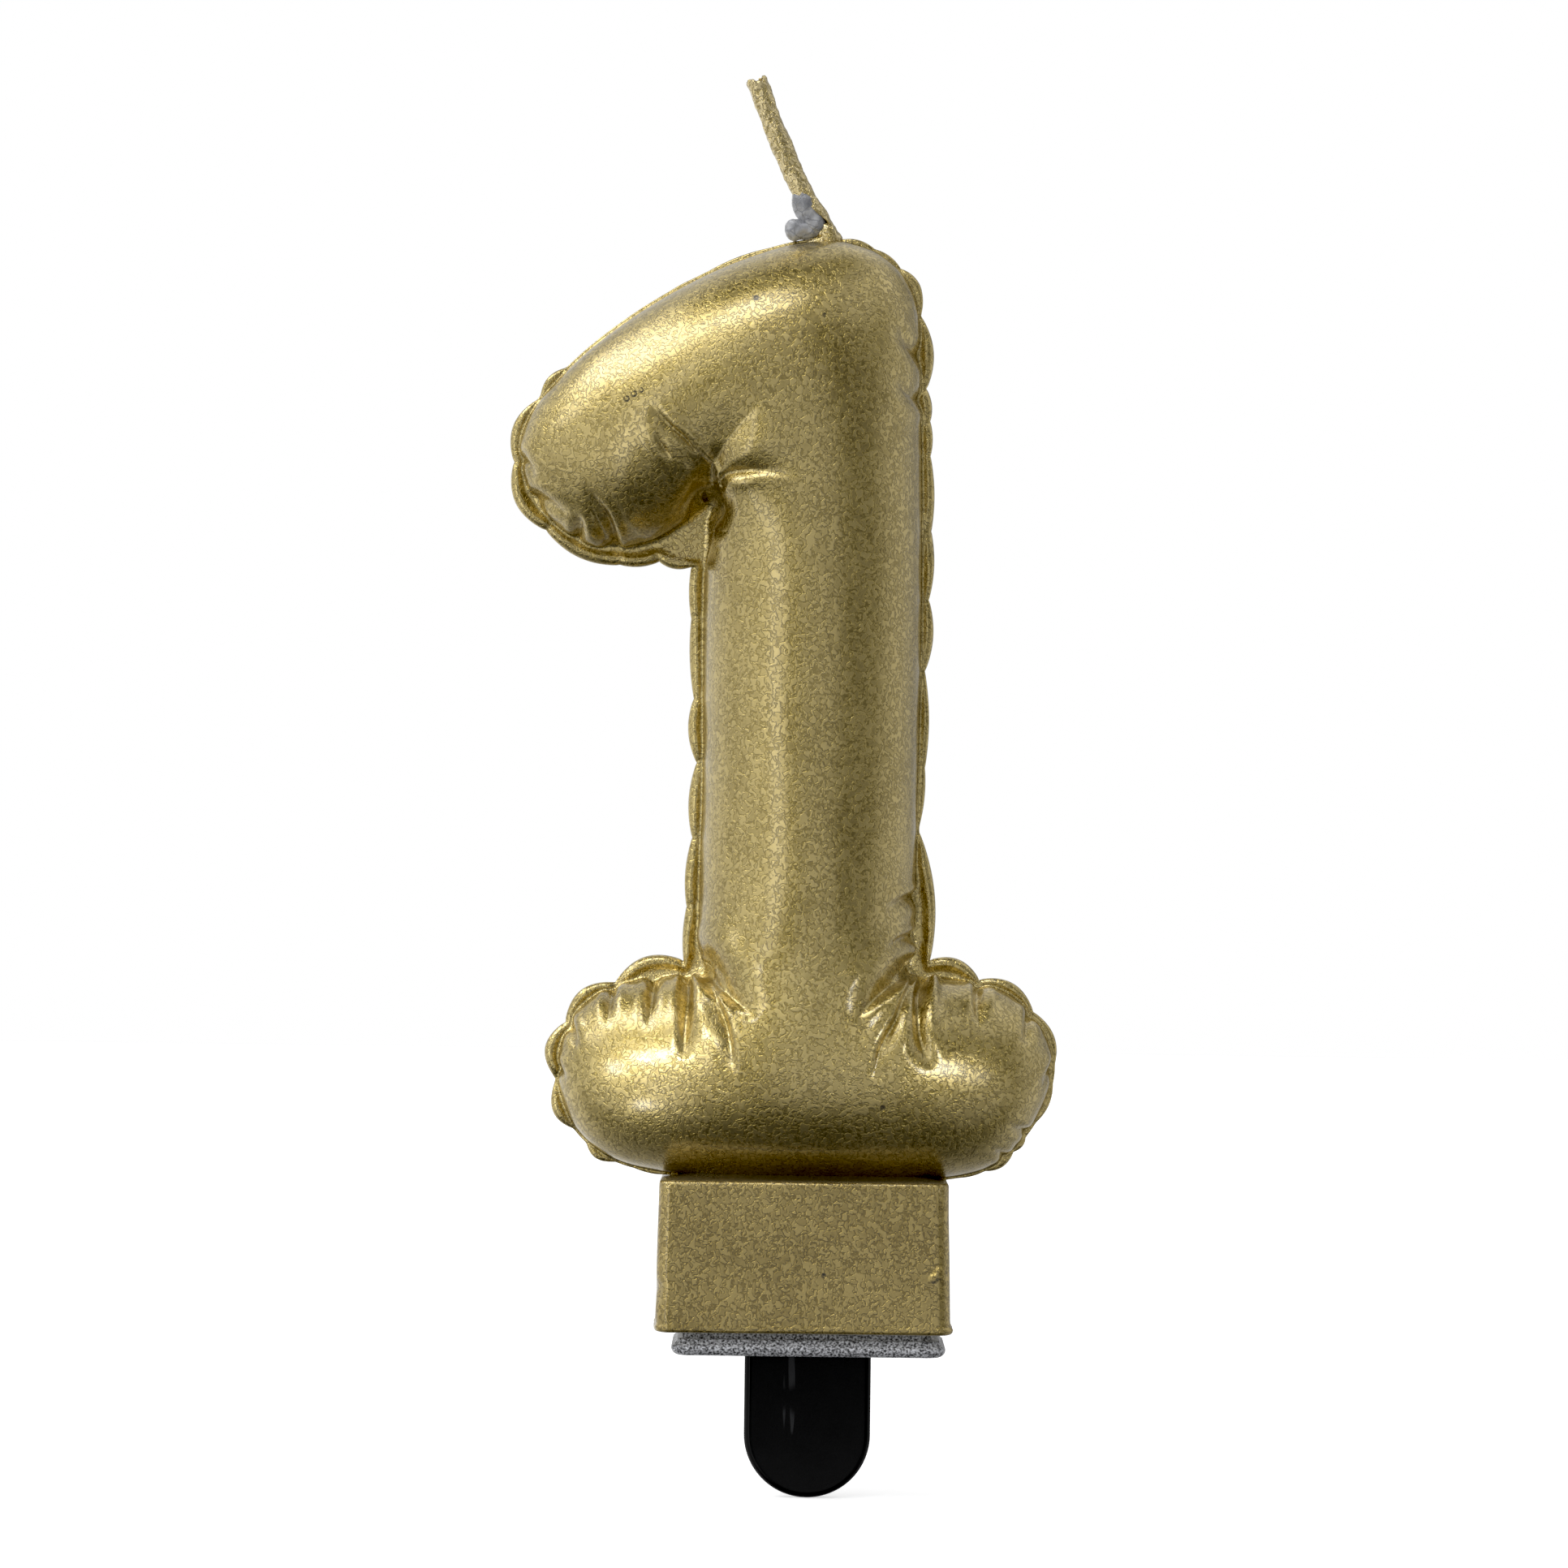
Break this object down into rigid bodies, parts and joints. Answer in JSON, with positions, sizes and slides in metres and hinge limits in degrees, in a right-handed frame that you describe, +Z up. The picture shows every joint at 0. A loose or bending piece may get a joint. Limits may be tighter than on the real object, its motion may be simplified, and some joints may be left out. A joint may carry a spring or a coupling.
{
  "type": "number candle",
  "caption": "Cake candle cast as an inflated foil numeral one, gold coated, with a leaning wick, a foot block and a flat push-in pick.",
  "frame": {"origin": "centre of the pick's blade where it leaves the underside of the plate, at the cake's surface", "axes": "+Z up along the numeral's stem, -Y towards the viewer who reads the numeral, +X to that viewer's right"},
  "size_m": [0.0457, 0.0172, 0.1175],
  "materials": {
    "gold_coating": "metallic gold wax lacquer, semi-gloss with a fine orange-peel grain",
    "white_wax": "plain paraffin wax",
    "clear_wax": "translucent wax, wet gloss",
    "cotton_braid": "waxed cotton braid",
    "black_plastic": "glossy black moulding"
  },
  "bodies": {
    "pick": {"holder": "black_plastic"},
    "candle": {"wax_core": "white_wax", "gold_coat": "gold_coating", "wick_root": "cotton_braid", "root_bead": "clear_wax"},
    "wick_end": {"wick_tip": "cotton_braid", "wick_coat": "gold_coating"}
  },
  "joints": [
    {"name": "candle_lift", "type": "slide", "parent": "pick", "child": "candle", "axis": [0, 0, 1], "range_m": [0, 0.009]},
    {"name": "wick_bend", "type": "hinge", "parent": "candle", "child": "wick_end", "pos_m": [-0.00104, 0, 0.09374], "axis": [0, 1, 0], "range_deg": [-30, 50]}
  ]
}
